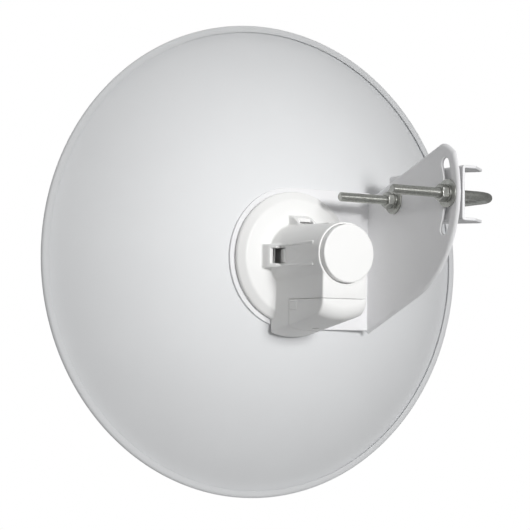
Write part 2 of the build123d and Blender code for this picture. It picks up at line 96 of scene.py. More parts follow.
HUB_Y = dish_high.y / MM - AXIS.y  # rear face of the dish's flat centre
END_Y = local("rear_housing")[1].y
PIVOT = Vector((0.0, (nut_low.y + nut_high.y) / 2 / MM, 0.0))
REAR_LEG = Vector((0.0, (rear_nut_low.y + rear_nut_high.y) / 2 / MM, 0.0))
LEG_GAP = REAR_LEG.y - PIVOT.y

# ---------------------------------------------------------------- shapes as fields
# A field is a signed distance in mm, negative inside. Fields are joined and cut here,
# and skin() turns the finished one into a closed mesh.


def round_max(a, b, radius):
    """What a and b share, with the edge between them rounded."""
    return np.minimum(np.maximum(a, b), -radius) + np.hypot(
        np.maximum(a + radius, 0), np.maximum(b + radius, 0)
    )


def round_min(a, b, radius):
    """a and b together, with a fillet where they meet."""
    return -round_max(-a, -b, radius)


def cut(a, b, radius=0.0):
    return round_max(a, -b, radius) if radius else np.maximum(a, -b)


def span(v, low, high):
    return np.maximum(low - v, v - high)


def brick(x, y, z, box, radius=0.0):
    """Box with rounded edges; box holds three (low, high) pairs."""
    half = [(high - low) / 2 - radius for low, high in box]
    middle = [(high + low) / 2 for low, high in box]
    q = [np.abs(v - m) - h for v, m, h in zip((x, y, z), middle, half)]
    outside = np.sqrt(sum(np.maximum(v, 0) ** 2 for v in q))
    return outside + np.minimum(np.maximum(np.maximum(q[0], q[1]), q[2]), 0) - radius


def outline_2d(u, v, corners):
    """Any closed outline, by distance to its edges."""
    near = None
    sign = np.ones(np.broadcast(u, v).shape, dtype=np.int8)
    for (au, av), (bu, bv) in zip(corners, corners[1:] + corners[:1]):
        eu, ev = bu - au, bv - av
        wu, wv = u - au, v - av
        t = np.clip((wu * eu + wv * ev) / (eu * eu + ev * ev), 0, 1)
        gap = (wu - eu * t) ** 2 + (wv - ev * t) ** 2
        near = gap if near is None else np.minimum(near, gap)
        above_a, below_b = v >= av, v < bv
        left = eu * wv > ev * wu
        flip = (above_a & below_b & left) | (~above_a & ~below_b & ~left)
        sign = np.where(flip, -sign, sign)
    return sign * np.sqrt(near)


def outward(points, quads):
    """The quads wound so that a closed mesh faces outwards."""
    a, b, c, d = (points[quads[:, i]] for i in range(4))
    volume = np.einsum("ij,ij->", a, np.cross(b, c) + np.cross(c, d))
    return quads[:, ::-1] if volume < 0 else quads


def mesh_object(name, points, faces):
    """Object from points in row metres and faces of equal length."""
    mesh = bpy.data.meshes.new(name)
    corners = faces.shape[1]
    mesh.vertices.add(len(points))
    mesh.vertices.foreach_set("co", np.asarray(points, np.float32).ravel())
    mesh.loops.add(faces.size)
    mesh.loops.foreach_set("vertex_index", faces.astype(np.int32).ravel())
    mesh.polygons.add(len(faces))
    mesh.polygons.foreach_set("loop_start", np.arange(0, faces.size, corners, dtype=np.int32))
    mesh.update(calc_edges=True)
    mesh.validate()
    mesh.shade_smooth()
    piece = bpy.data.objects.new(name, mesh)
    bpy.context.scene.collection.objects.link(piece)
    return piece


def baked(piece):
    """Apply the piece's modifiers to its mesh."""
    graph = bpy.context.evaluated_depsgraph_get()
    mesh = bpy.data.meshes.new_from_object(piece.evaluated_get(graph))
    piece.modifiers.clear()
    piece.data = mesh
    return piece


SLAB = 24  # layers of a field worked out at a time


def skin(name, field, boxes, voxel, origin=(0, 0, 0), most_faces=150000):
    """Closed mesh of a field, looked for in a few boxes. Boxes and origin are in mm."""
    low = np.min([box[0] for box in boxes], axis=0) - 2 * voxel
    band = 3 * voxel
    grid = openvdb.FloatGrid(band)
    for box_low, box_high in boxes:
        first = np.floor((np.array(box_low) - low) / voxel).astype(int) - 4
        last = np.ceil((np.array(box_high) - low) / voxel).astype(int) + 4
        x, y, z = (
            (low[i] + voxel * np.arange(first[i], last[i])).astype(np.float32) for i in range(3)
        )
        for start in range(0, len(x), SLAB):
            part = x[start : start + SLAB, None, None]
            values = field(part, y[None, :, None], z[None, None, :])
            values = np.broadcast_to(values, (len(part), len(y), len(z)))
            values = np.ascontiguousarray(np.clip(values, -band, band), dtype=np.float32)
            corner = (int(first[0]) + start, int(first[1]), int(first[2]))
            grid.copyFromArray(values, ijk=corner)
    points, quads = grid.convertToQuads(isovalue=0.0)
    points = points * voxel + low
    piece = mesh_object(name, (points + np.array(origin)) * MM, outward(points, quads))
    if 2 * len(quads) > most_faces:
        thin = piece.modifiers.new("thin", "DECIMATE")
        thin.ratio = most_faces / (2 * len(quads))
        baked(piece)
        piece.data.shade_smooth()
    return piece


# ---------------------------------------------------------------- turned shapes


def rounded(profile, radius, steps=5):
    """A closed profile with each corner off the axis eased by an arc."""
    count = len(profile)
    points = [Vector(p) for p in profile]
    result = []
    for i, corner in enumerate(points):
        if corner.x < 0.01:
            result.append(tuple(corner))
            continue
        back, ahead = points[i - 1] - corner, points[(i + 1) % count] - corner
        if back.length < 1e-6 or ahead.length < 1e-6:
            continue
        b, a = back.normalized(), ahead.normalized()
        half = math.acos(max(-1.0, min(1.0, b.dot(a)))) / 2
        if half > 1.5 or half < 0.02:
            result.append(tuple(corner))
            continue
        reach = min(radius / math.tan(half), 0.45 * back.length, 0.45 * ahead.length)
        r = reach * math.tan(half)
        centre = corner + (a + b).normalized() * (r / math.sin(half))
        start, end = corner + b * reach - centre, corner + a * reach - centre
        turn = start.angle_signed(end)
        for k in range(steps + 1):
            spot = start.copy()
            spot.rotate(Matrix.Rotation(-turn * k / steps, 2))
            result.append(tuple(centre + spot))
    return result


def lathe(name, profile, segments, origin, axis="Y"):
    """Turn a closed (radius, along) profile about the axis through origin."""
    profile = np.array(profile, dtype=np.float64)
    turn = np.linspace(0, 2 * math.pi, segments, endpoint=False)
    r, along = profile[:, 0], profile[:, 1]
    across = np.outer(np.cos(turn), r), np.outer(np.sin(turn), r)
    y = np.broadcast_to(along, across[0].shape)
    order = {"X": (y, across[0], across[1]), "Y": (across[0], y, across[1]), "Z": (*across, y)}
    points = np.stack(order[axis], axis=-1).reshape(-1, 3) + np.array(origin)
    n = len(profile)
    i, j = np.meshgrid(np.arange(segments), np.arange(n), indexing="ij")
    i2, j2 = (i + 1) % segments, (j + 1) % n
    quads = np.stack([i * n + j, i * n + j2, i2 * n + j2, i2 * n + j], axis=-1).reshape(-1, 4)
    piece = mesh_object(name, points * MM, outward(points, quads))
    bm = bmesh.new()
    bm.from_mesh(piece.data)
    bmesh.ops.remove_doubles(bm, verts=bm.verts, dist=1e-7)
    bmesh.ops.dissolve_degenerate(bm, dist=1e-8, edges=bm.edges)
    bm.to_mesh(piece.data)
    bm.free()
    piece.data.shade_smooth()
    return piece


def swept(name, rings):
    """Closed bar through rings of points in row mm; rings is a (ring, point, xyz) array."""
    count, sides = rings.shape[:2]
    bm = bmesh.new()
    verts = [bm.verts.new(p * MM) for p in rings.reshape(-1, 3)]
    for i in range(count - 1):
        for j in range(sides):
            k = (j + 1) % sides
            a, b, c, d = i * sides + j, i * sides + k, (i + 1) * sides + k, (i + 1) * sides + j
            bm.faces.new((verts[a], verts[b], verts[c], verts[d]))
    bm.faces.new(verts[:sides][::-1])
    bm.faces.new(verts[-sides:])
    bmesh.ops.recalc_face_normals(bm, faces=bm.faces)
    mesh = bpy.data.meshes.new(name)
    bm.to_mesh(mesh)
    bm.free()
    for face in mesh.polygons:
        face.use_smooth = len(face.vertices) == 4
    piece = bpy.data.objects.new(name, mesh)
    bpy.context.scene.collection.objects.link(piece)
    return piece


def joined(name, pieces):
    """One object from several, with their meshes side by side."""
    bm = bmesh.new()
    for piece in pieces:
        bm.from_mesh(piece.data)
        bpy.data.objects.remove(piece)
    mesh = bpy.data.meshes.new(name)
    bm.to_mesh(mesh)
    bm.free()
    mesh.shade_smooth()
    result = bpy.data.objects.new(name, mesh)
    bpy.context.scene.collection.objects.link(result)
    return result


# ---------------------------------------------------------------- materials
slots = {m["slot"]: m for m in frame["record"]["materials"]}


class Paint:
    """A Principled material and short ways to add nodes to it."""

    def __init__(self, slot, roughness, metallic=0.0):
        self.material = bpy.data.materials.new(slot)
        self.material.use_nodes = True
        self.tree = self.material.node_tree
        self.shader = self.tree.nodes["Principled BSDF"]
        self.colour = (*slots[slot]["base_color"][:3], 1.0)
        self.shader.inputs["Base Color"].default_value = self.colour
        self.shader.inputs["Roughness"].default_value = roughness
        self.shader.inputs["Metallic"].default_value = metallic
        place = self.node("ShaderNodeTexCoord")
        self.place = place.outputs["Object"]
        self.last_normal = None

    def node(self, kind, **values):
        made = self.tree.nodes.new(kind)
        for key, value in values.items():
            setattr(made, key, value)
        return made

    def link(self, a, b):
        self.tree.links.new(a, b)

    def noise(self, grain_mm, detail=3.0, rough=0.5, stretch=None):
        made = self.node("ShaderNodeTexNoise")
        made.inputs["Scale"].default_value = 1.0 / (grain_mm * MM)
        made.inputs["Detail"].default_value = detail
        made.inputs["Roughness"].default_value = rough
        source = self.place
        if stretch:
            mapping = self.node("ShaderNodeMapping")
            mapping.inputs["Scale"].default_value = stretch
            self.link(source, mapping.inputs["Vector"])
            source = mapping.outputs["Vector"]
        self.link(source, made.inputs["Vector"])
        return made.outputs["Fac"]

    def ramp(self, source, low, high, a=0.3, b=0.7):
        """Map the part of a value between a and b to low..high."""
        made = self.node("ShaderNodeMapRange")
        made.inputs["From Min"].default_value = a
        made.inputs["From Max"].default_value = b
        made.inputs["To Min"].default_value = low
        made.inputs["To Max"].default_value = high
        self.link(source, made.inputs["Value"])
        return made.outputs["Result"]

    def tint(self, factor, other):
        """Mix the base colour towards another by a 0 to 1 value."""
        mix = self.node("ShaderNodeMix", data_type="RGBA")
        socket = self.shader.inputs["Base Color"]
        if socket.is_linked:
            self.link(socket.links[0].from_socket, mix.inputs[6])
        else:
            mix.inputs[6].default_value = self.colour
        mix.inputs[7].default_value = (*other, 1.0)
        self.link(factor, mix.inputs[0])
        self.link(mix.outputs[2], socket)
        return self

    def rough(self, source):
        self.link(source, self.shader.inputs["Roughness"])
        return self

    def bump(self, source, height_mm):
        made = self.node("ShaderNodeBump")
        made.inputs["Strength"].default_value = 1.0
        made.inputs["Distance"].default_value = height_mm * MM
        self.link(source, made.inputs["Height"])
        if self.last_normal:
            self.link(self.last_normal, made.inputs["Normal"])
        self.last_normal = made.outputs["Normal"]
        self.link(self.last_normal, self.shader.inputs["Normal"])
        return self


def lighter(colour, by):
    return [min(1.0, c * by) for c in colour[:3]]


def powder_coat(slot, roughness, orange_peel):
    paint = Paint(slot, roughness)
    paint.tint(paint.ramp(paint.noise(60, 2), 0, 0.5), lighter(paint.colour, 0.965))
    paint.tint(paint.ramp(paint.noise(0.35, 1), 0, 0.35, 0.45, 0.75), lighter(paint.colour, 0.93))
    paint.rough(paint.ramp(paint.noise(4, 3), roughness - 0.05, roughness + 0.07))
    paint.bump(paint.noise(1.3, 2, 0.4), orange_peel)
    return paint.material


def moulded(slot, roughness, grain=0.05):
    paint = Paint(slot, roughness)
    paint.tint(paint.ramp(paint.noise(35, 2), 0, 0.5), lighter(paint.colour, 0.975))
    paint.rough(paint.ramp(paint.noise(0.6, 2), roughness - 0.04, roughness + 0.06))
    paint.bump(paint.noise(0.45, 2, 0.6), grain)
    return paint.material


def plated(slot, roughness, dull, bright, streak=None):
    paint = Paint(slot, roughness, metallic=1.0)
    paint.tint(paint.ramp(paint.noise(2.2, 4, 0.65), 0, 0.8), dull)
    paint.tint(paint.ramp(paint.noise(0.5, 2), 0, 0.35, 0.5, 0.8), bright)
    paint.rough(paint.ramp(paint.noise(1.1, 3), roughness - 0.08, roughness + 0.14))
    paint.bump(paint.noise(0.4, 3, 0.6, streak), 0.02)
    return paint.material


def rubber(slot):
    paint = Paint(slot, 0.75)
    paint.tint(paint.ramp(paint.noise(1.5, 3), 0, 0.5), lighter(paint.colour, 1.8))
    paint.bump(paint.noise(0.3, 2), 0.03)
    return paint.material


def circuit_board(slot):
    """Solder mask with copper traces showing through as a lighter green."""
    paint = Paint(slot, 0.35)
    bricks = paint.node("ShaderNodeTexBrick")
    bricks.inputs["Scale"].default_value = 60.0
    bricks.inputs["Mortar Size"].default_value = 0.035
    bricks.inputs["Color1"].default_value = (0, 0, 0, 1)
    bricks.inputs["Color2"].default_value = (0, 0, 0, 1)
    bricks.inputs["Mortar"].default_value = (1, 1, 1, 1)
    turn = paint.node("ShaderNodeMapping")
    turn.inputs["Rotation"].default_value = (0, math.pi / 2, 0)
    paint.link(paint.place, turn.inputs["Vector"])
    paint.link(turn.outputs["Vector"], bricks.inputs["Vector"])
    paint.tint(paint.ramp(bricks.outputs["Fac"], 0, 0.7, 0, 1), lighter(paint.colour, 1.9))
    paint.bump(bricks.outputs["Fac"], 0.03)
    paint.bump(paint.noise(0.6, 2), 0.01)
    return paint.material


materials = {
    "dish_paint": powder_coat("dish_paint", 0.62, 0.012),
    "white_paint": powder_coat("white_paint", 0.5, 0.015),
    "white_plastic": moulded("white_plastic", 0.46, 0.012),
    "zinc_steel": plated("zinc_steel", 0.38, (0.3, 0.3, 0.27), (0.68, 0.68, 0.64)),
    "dark_rubber": rubber("dark_rubber"),
    "spring_steel": plated("spring_steel", 0.25, (0.5, 0.5, 0.5), (0.8, 0.8, 0.8)),
    "stainless_screw": plated("stainless_screw", 0.25, (0.5, 0.5, 0.49), (0.75, 0.75, 0.74)),
    "aluminium_sheet": plated("aluminium_sheet", 0.3, (0.7, 0.7, 0.71), (0.9, 0.9, 0.9), (1, 0.05, 1)),
    "tinned_copper": plated("tinned_copper", 0.25, (0.6, 0.58, 0.54), (0.85, 0.84, 0.8)),
    "board_green": circuit_board("board_green"),
    "tinned_steel": plated("tinned_steel", 0.3, (0.6, 0.6, 0.59), (0.85, 0.85, 0.84)),
    "thermal_grey": rubber("thermal_grey"),
    "jack_black": moulded("jack_black", 0.4),
    "button_grey": moulded("button_grey", 0.5),
}


def finish_piece(piece, body, slot, *nodes):
    """Give a piece its material and body, and hide the CAD nodes it stands for."""
    piece.data.materials.clear()
    piece.data.materials.append(materials[slot])
    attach(piece, body)
    if nodes:
        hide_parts(*nodes)
    return piece


# ---------------------------------------------------------------- reflector
FOCAL = 233.0
SHEET = 1.3
BOWL_R = 247.6
HUB_FLAT_R = 75.0
FEED_HOLE_R = 23.0
HEM_R = 252.5
HUB_RING_R = 50.0
EDGE_EASE = 0.3
PRESSED_EASE = 2.2  # how softly the bowl runs into the flange
HUB_EASE_REACH = 40  # the bowl takes this far to leave the flat hub


def bowl_y(radius):
    """Rear face of the bowl, a parabola through the flange's rear face at BOWL_R."""
    return SHEET - ROLL_R + (BOWL_R**2 - radius**2) / (4 * FOCAL)


def eased_bowl(radius):
    """The parabola with the pressed corners at the hub and the flange eased."""
    flange, soft = SHEET - ROLL_R, PRESSED_EASE
    y = min(bowl_y(radius), HUB_Y)
    low = y - flange
    return flange + soft * math.log1p(math.exp(low / soft)) if low < 8 * soft else y


def reflector():
    bowl = np.linspace(HUB_FLAT_R, BOWL_R - 8, 56)
    flange = np.linspace(BOWL_R - 7, RIM_R - ROLL_R - 3, 16)
    rear = [(r, eased_bowl(r)) for r in (*bowl, *flange)]
    ease = eased_bowl(HUB_FLAT_R) - HUB_Y
    rear = [(r, y - ease * max(0.0, 1 - (r - HUB_FLAT_R) / HUB_EASE_REACH)) for r, y in rear]
    bend, inner = RIM_R - ROLL_R, ROLL_R - SHEET
    sweep = np.linspace(-math.pi / 2, math.pi / 2, 17)
    inside = [(bend + inner * math.cos(a), inner * math.sin(a)) for a in sweep]
    outside = [(bend + ROLL_R * math.cos(a), ROLL_R * math.sin(a)) for a in sweep[::-1]]
    lip = [
        (HEM_R + EDGE_EASE, inner),
        (HEM_R, inner + EDGE_EASE),
        (HEM_R, ROLL_R - EDGE_EASE),
        (HEM_R + EDGE_EASE, ROLL_R),
    ]
    front = [(r, y - SHEET) for r, y in reversed(rear)]
    hub_rear = [
        (FEED_HOLE_R, HUB_Y - EDGE_EASE),
        (FEED_HOLE_R + EDGE_EASE, HUB_Y),
        (HUB_RING_R, HUB_Y),
    ]
    hub_front = [
        (HUB_RING_R, HUB_Y - SHEET),
        (FEED_HOLE_R + EDGE_EASE, HUB_Y - SHEET),
        (FEED_HOLE_R, HUB_Y - SHEET + EDGE_EASE),
    ]
    profile = hub_rear + rear + inside + lip + outside + front + hub_front
    return lathe("reflector_dish", profile, 320, AXIS)


finish_piece(reflector(), "antenna", "dish_paint", "dish_reflector")

# ---------------------------------------------------------------- folded bracket
BRACKET_T = 3.0
BRACKET_R = 75.7
LEAF_X = plate_low.x / MM - AXIS.x  # lip's free edge, on the pole's side
ARM_R = 113.0
LIP_H = 5.5
PLATE_Y = HUB_Y + BRACKET_T
SLOT_R = 6.0
SLOT_UP, SLOT_DOWN = 19.0, 22.0
BEND_R = 4.6
FOLD_R = (3.6, 0.9)  # outside and inside of the fold
LIP_FADE_Y, LIP_FADE = 22, 16  # where the lip starts behind the plate, and over what length
PIVOT_HOLE_R = 5.05
PIVOT_W, PIVOT_V = PIVOT.y - AXIS.y, PIVOT.z - AXIS.z
ARM_TOP = (74.7, 74.5)  # (y, z) where the sloped edge leaves the disc
ARM_UP, ARM_DOWN = math.radians(19.6), math.radians(22.6)
ARM_EDGE_LENGTH, ARM_APEX_LENGTH, ARM_APEX_TURN = 122, 125, math.radians(22)


def arm_arc(turn):
    """A point of the arm's round end, at an angle about the pivot."""
    return PIVOT_W + ARM_R * math.cos(turn), PIVOT_V + ARM_R * math.sin(turn)


def arm_edge(left):
    """The arm's outline along (y, z), closed on the left at y = left."""
    up, down = ARM_UP, ARM_DOWN
    top = Vector(ARM_TOP)
    slope = Vector((math.cos(up), math.sin(up)))
    apex_in, apex_out = top + slope * ARM_EDGE_LENGTH, arm_arc(ARM_APEX_TURN)
    apex = top + slope * (ARM_APEX_LENGTH / math.cos(up))
    ease = [
        tuple(apex_in * (1 - t) ** 2 + apex * 2 * t * (1 - t) + Vector(apex_out) * t**2)
        for t in np.linspace(0, 1, 9)
    ]
    arc = [arm_arc(a) for a in np.linspace(math.radians(20), down - math.pi / 2, 48)]
    touch = Vector(arc[-1])
    foot = touch - Vector((math.cos(down), math.sin(down))) * ((touch.x - PLATE_Y) / math.cos(down))
    start = [(left, BRACKET_R - 1), tuple(top)]
    return (start + ease + arc + [tuple(foot), (left, foot.y)])[::-1]


def mount_plate(x, y, z):
    """Disc and ear behind the dish, folded into the arm with its turned lip."""
    face_x = LEAF_X + LIP_H  # the arm's inner face
    outer = round_max(face_x - BRACKET_T - x, HUB_Y - y, FOLD_R[0])
    inner = round_max(face_x - x, PLATE_Y - y, FOLD_R[1])
    fold = cut(outer, inner)
    disc = np.hypot(x, z) - BRACKET_R
    ear = np.maximum(np.abs(z) - BRACKET_R, x)
    leaf = round_max(np.maximum(fold, y - PLATE_Y), np.minimum(disc, ear), 0.4)
    edge = outline_2d(y, z, arm_edge(HUB_Y - 30))
    form = round_max(x - face_x, edge, BEND_R)
    sheet = cut(form, round_max(x - face_x + BRACKET_T, edge + BRACKET_T, BEND_R - BRACKET_T))
    fade = np.clip((PLATE_Y + LIP_FADE_Y - y) / LIP_FADE, 0, 1)
    lip_end = LEAF_X + (LIP_H - BRACKET_T) * fade
    sheet = round_max(sheet, lip_end - x, 0.4)
    arm = np.maximum(sheet, outer)
    whole = round_min(leaf, arm, 0.5)
    pivot = np.hypot(y - PIVOT_W, z - PIVOT_V)
    turn = np.arctan2(z - PIVOT_V, y - PIVOT_W)
    turn = np.clip(turn, -math.radians(SLOT_DOWN), math.radians(SLOT_UP))
    along, up = LEG_GAP * np.cos(turn), LEG_GAP * np.sin(turn)
    slot = np.hypot(y - PIVOT_W - along, z - PIVOT_V - up) - SLOT_R
    on_arm = face_x - 20 - x
    away = x - face_x - 2
    whole = cut(whole, np.maximum(np.maximum(slot, away), on_arm), 0.35)
    whole = cut(whole, np.maximum(np.maximum(pivot - PIVOT_HOLE_R, away), on_arm), 0.3)
    return cut(whole, np.hypot(x, z) - FEED_HOLE_R, 0.3)


plate_min, plate_max = local("mount_bracket")
bracket = skin(
    "tilt_bracket",
    mount_plate,
    [
        ((plate_min.x, HUB_Y, -BRACKET_R), (BRACKET_R, PLATE_Y, BRACKET_R)),
        ((plate_min.x, HUB_Y, plate_min.z), (plate_min.x + LIP_H, plate_max.y, plate_max.z)),
    ],
    0.5,
    AXIS,
    180000,
)
finish_piece(bracket, "antenna", "white_paint", "mount_bracket")

# ---------------------------------------------------------------- pole clamp
CLAMP_HALF_Y = clamp_high.y / MM
CLAMP_HALF_Z = clamp_high.z / MM
LIP_X = clamp_high.x / MM
JAW_X = clamp_low.x / MM
SHOULDER_X, JAW_TIP_Y = 18.5, 48.0
JAW_HALF_ANGLE, JAW_FLOOR_X, POLE_R = math.radians(52), 29.0, 25.0
CLAMP_HOLE_R = 5.5
PAST_EDGE = 9  # the plan runs this far past faces that are cut elsewhere
LEG_Y = REAR_LEG.y


def clamp(x, y, z):
    """Channel with two flat jaws, each with a V notch for the pole."""
    y, z = np.abs(y), np.abs(z)
    outer = round_max(x - LIP_X, z - CLAMP_HALF_Z, 3.4)
    inner = round_max(x - LIP_X + BRACKET_T, z - CLAMP_HALF_Z + BRACKET_T, 0.8)
    vertex = POLE_R / math.sin(JAW_HALF_ANGLE)
    reach = math.tan(JAW_HALF_ANGLE)
    plan = [
        (LIP_X + PAST_EDGE, -PAST_EDGE),
        (LIP_X + PAST_EDGE, CLAMP_HALF_Y),
        (SHOULDER_X, CLAMP_HALF_Y),
        (JAW_X, JAW_TIP_Y),
        (JAW_X, (vertex - JAW_X) * reach),
        (JAW_FLOOR_X, (vertex - JAW_FLOOR_X) * reach),
        (JAW_FLOOR_X, -PAST_EDGE),
    ]
    edge = outline_2d(x, y, plan)
    shape = round_max(cut(outer, inner), edge, 0.45)
    hole = np.maximum(np.hypot(y - LEG_Y, z) - CLAMP_HOLE_R, LIP_X - 2 * BRACKET_T - x)
    return cut(shape, hole, 0.3)


clamp_box = (
    (JAW_X, -CLAMP_HALF_Y, -CLAMP_HALF_Z),
    (LIP_X, CLAMP_HALF_Y, CLAMP_HALF_Z),
)
finish_piece(
    skin("pole_clamp_channel", clamp, [clamp_box], 0.5, most_faces=120000),
    "pole_clamp",
    "white_paint",
    "pole_bracket",
)

# ---------------------------------------------------------------- bolt, nuts and washers
THREAD_CREST, THREAD_ROOT, SHANK_R, PITCH = 4.93, 4.1, 4.5, 1.5
THREAD_START_X, THREAD_END_X = 30.0, bolt_high.x / MM
BOLT_CORNER_R = 36.0
LOOP_X = bolt_low.x / MM + SHANK_R
BAR_SIDES = 28
RINGS_A_TURN = 8


def leg_stations(first, last):
    """Places of the rings along a threaded leg, several to a turn of the thread."""
    count = int(abs(last - first) / PITCH * RINGS_A_TURN)
    return np.linspace(first, last, count + 1)


def bolt_path():
    """Centre line of the U-bolt as (x, y, tangent x, tangent y) rows, rear leg first."""
    rows = [(x, LEG_Y, -1.0, 0.0) for x in leg_stations(THREAD_END_X, THREAD_START_X)]
    corner_x, corner_y = LOOP_X + BOLT_CORNER_R, LEG_Y - BOLT_CORNER_R
    rows += [(x, LEG_Y, -1.0, 0.0) for x in np.linspace(THREAD_START_X, corner_x, 6)[1:-1]]
    for turn in np.linspace(0, math.pi / 2, 25):
        x = corner_x - BOLT_CORNER_R * math.sin(turn)
        y = corner_y + BOLT_CORNER_R * math.cos(turn)
        rows.append((x, y, -math.cos(turn), -math.sin(turn)))
    rows += [(LOOP_X, y, 0.0, -1.0) for y in np.linspace(corner_y, 0, 5)[1:]]
    mirrored = [(x, -y, -tx, ty) for x, y, tx, ty in rows[-2::-1]]
    return np.array(rows + mirrored)


def thread_radius(x, travel, angle):
    """Bar radius at each ring and angle: a rolled thread that runs out into the plain bar."""
    phase = (travel / PITCH - angle / (2 * math.pi)) % 1.0
    flank = np.clip(np.abs(phase - 0.5) * 2.6 - 0.15, 0, 1)
    profile = THREAD_ROOT + (THREAD_CREST - THREAD_ROOT) * flank
    runout = np.clip((x - THREAD_START_X) / 3.0, 0, 1)
    radius = SHANK_R + (profile - SHANK_R) * runout
    return np.minimum(radius, THREAD_ROOT - 0.35 + np.maximum(THREAD_END_X - x, 0))


def u_bolt():
    path = bolt_path()
    steps = np.hypot(*np.diff(path[:, :2], axis=0).T)
    travel = np.concatenate([[0], np.cumsum(steps)])[:, None]
    angle = np.linspace(0, 2 * math.pi, BAR_SIDES, endpoint=False)[None, :]
    tangent = np.column_stack([path[:, 2], path[:, 3], np.zeros(len(path))])
    side = np.cross([0, 0, 1], tangent)
    centre = np.column_stack([path[:, 0], path[:, 1], np.zeros(len(path))])
    radius = thread_radius(path[:, 0][:, None], travel, angle)
    ring = (
        centre[:, None, :]
        + (radius * np.cos(angle))[..., None] * side[:, None, :]
        + (radius * np.sin(angle))[..., None] * np.array([0, 0, 1.0])
    )
    return swept("u_bolt_threaded", ring)


finish_piece(u_bolt(), "u_bolt", "zinc_steel", "u_bolt")

NUT_FLATS = nut_high.y / MM - nut_low.y / MM
NUT_X = (nut_low.x / MM, nut_high.x / MM)
NUT_BORE_R = 5.0
WASHER_BORE_R = 5.25
SPLIT_TURN = 0.7  # where the lock washers are split, in radians


def nut(x, y, z):
    """Hexagon nut about the X axis with both faces chamfered."""
    y, z = np.abs(y), np.abs(z)
    hexagon = np.maximum(y, y / 2 + z * math.sqrt(0.75)) - NUT_FLATS / 2
    face = np.maximum(NUT_X[0] - x, x - NUT_X[1])
    r = np.hypot(y, z)
    lead = math.radians(30)
    cone = (r - 0.475 * NUT_FLATS) * math.sin(lead) + face * math.cos(lead)
    body = round_max(round_max(hexagon, cone, 0.25), face, 0.25)
    mouth = (r - NUT_BORE_R - 0.7) * math.sqrt(0.5) - face * math.sqrt(0.5)
    return cut(body, np.minimum(r - NUT_BORE_R, mouth), 0.1)


def flat_washer(name, y):
    low, high = washer_low.x / MM, washer_high.x / MM
    inner, outer = WASHER_BORE_R, (washer_high.z - washer_low.z) / 2 / MM
    profile = rounded([(inner, low), (outer, low), (outer, high), (inner, high)], 0.35, 3)
    return lathe(name, profile, 96, (0, y, 0), axis="X")


LOCK_R = (lock_high.z - lock_low.z) / 2 / MM


def lock_washer(x, y, z):
    """Split spring washer, with its cut slanted across the ring."""
    low, high = lock_low.x / MM, lock_high.x / MM
    r = np.hypot(y, z)
    ring = round_max(round_max(r - LOCK_R, WASHER_BORE_R - r, 0.2), span(x, low, high), 0.25)
    across = math.cos(SPLIT_TURN) * y + math.sin(SPLIT_TURN) * z
    along = math.cos(SPLIT_TURN) * z - math.sin(SPLIT_TURN) * y
    slit = np.maximum(np.abs(along - 0.8 * (x - (low + high) / 2)) - 0.5, -across)
    return cut(ring, slit, 0.1)


def both_legs(name, make):
    return joined(name, [make(f"{name}_front", -LEG_Y), make(f"{name}_rear", LEG_Y)])


def lock_on_leg(name, y):
    box = ((lock_low.x / MM, -LOCK_R, -LOCK_R), (lock_high.x / MM, LOCK_R, LOCK_R))
    return skin(name, lock_washer, [box], 0.25, (0, y, 0), 24000)


def nut_on_leg(name, y):
    corner = NUT_FLATS / math.sqrt(3)
    box = ((NUT_X[0], -NUT_FLATS / 2, -corner), (NUT_X[1], NUT_FLATS / 2, corner))
    return skin(name, nut, [box], 0.25, (0, y, 0), 60000)


finish_piece(both_legs("plain_washers", flat_washer), "pole_clamp", "zinc_steel", "flat_washers")
finish_piece(both_legs("spring_washers", lock_on_leg), "pole_clamp", "zinc_steel", "lock_washers")
finish_piece(nut_on_leg("hex_nut_front", -LEG_Y), "nut_front", "zinc_steel", "nut_front")
finish_piece(nut_on_leg("hex_nut_rear", LEG_Y), "nut_rear", "zinc_steel", "nut_rear")

# ---------------------------------------------------------------- rear housing
HOUSING_R = (shell_high.x - shell_low.x) / 2 / MM
WALL = 2.4
FOOT = PLATE_Y + 1.0  # on the gasket
BASE_EDGE_Y, BASE_FACE_Y, BASE_FACE_R = 66.3, 72.0, 62.0
TUBE_Y, TUBE_R, TUBE_R_REAR = 74.0, 36.4, 31.9
SKIRT_HALF, SKIRT_Y, SKIRT_R, SKIRT_TAPER, SKIRT_ROUND = 26.2, 63.0, 84.0, 0.19, 12.0
LUG_R, LUG_HALF = 46.0, 12.2
LUG_SLOPE = ((LUG_R, 83), (39, 90), (30, 112))  # outer side of a guide block, as (r, y)
LUG_Y, LUG_ROOT_R = (67, 112), 20
HOLLOW = ((67.5, 65.5), (60.5, 69.6), (0, 71.1))  # underside of the base, as (r, y)
TUBE_DRAFT = 0.05125
RECESS_X, RECESS_HALF, GUIDE_X = 31.6, 10.0, 29.4
WINDOW_Y, WINDOW_HALF, WINDOW_ROOT_R = (84.0, 99.0), 8.0, 24
FLAT_Y, UNDER_Y = 90, 76  # where the recess and the room under a block start
COVER_Y, COVER_Z, SPLIT = 99.0, -45.0, 0.3
BUTTON_R, BUTTON_FRONT_Y, BUTTON_Y = 29.5, 157.0, cap_high.y / MM - AXIS.y
BULKHEAD = (148.0, 150.5)
LATCH_R, LATCH_T, LATCH_HALF = 26.0, 2.0, 7.4
SCREW_PITCH_R, SCREW_R = 46.0, 1.95
BOARD_POSTS = ((143.0, 17.0, -26.5), (143.0, -17.0, -26.5), (88.0, -30.0, -25.0))
POST_R, POST_BORE_R, BOSS_R = 3.0, 1.25, 4.6
BOARD_X = -8.0
BOARD_FACE_X = -6.4
JACK_SIZE, JACK_Y, JACK_Z = (13.5, 16.0), 110.0, (-44.0, -22.0)
RESET_Y, RESET_R = 128.0, 1.5
CABLE_Y, CABLE_R = 110.0, 3.25
TONGUE_X, TONGUE_Y, TONGUE_ROOM = (22.0, 23.5), (120, 135), 0.4
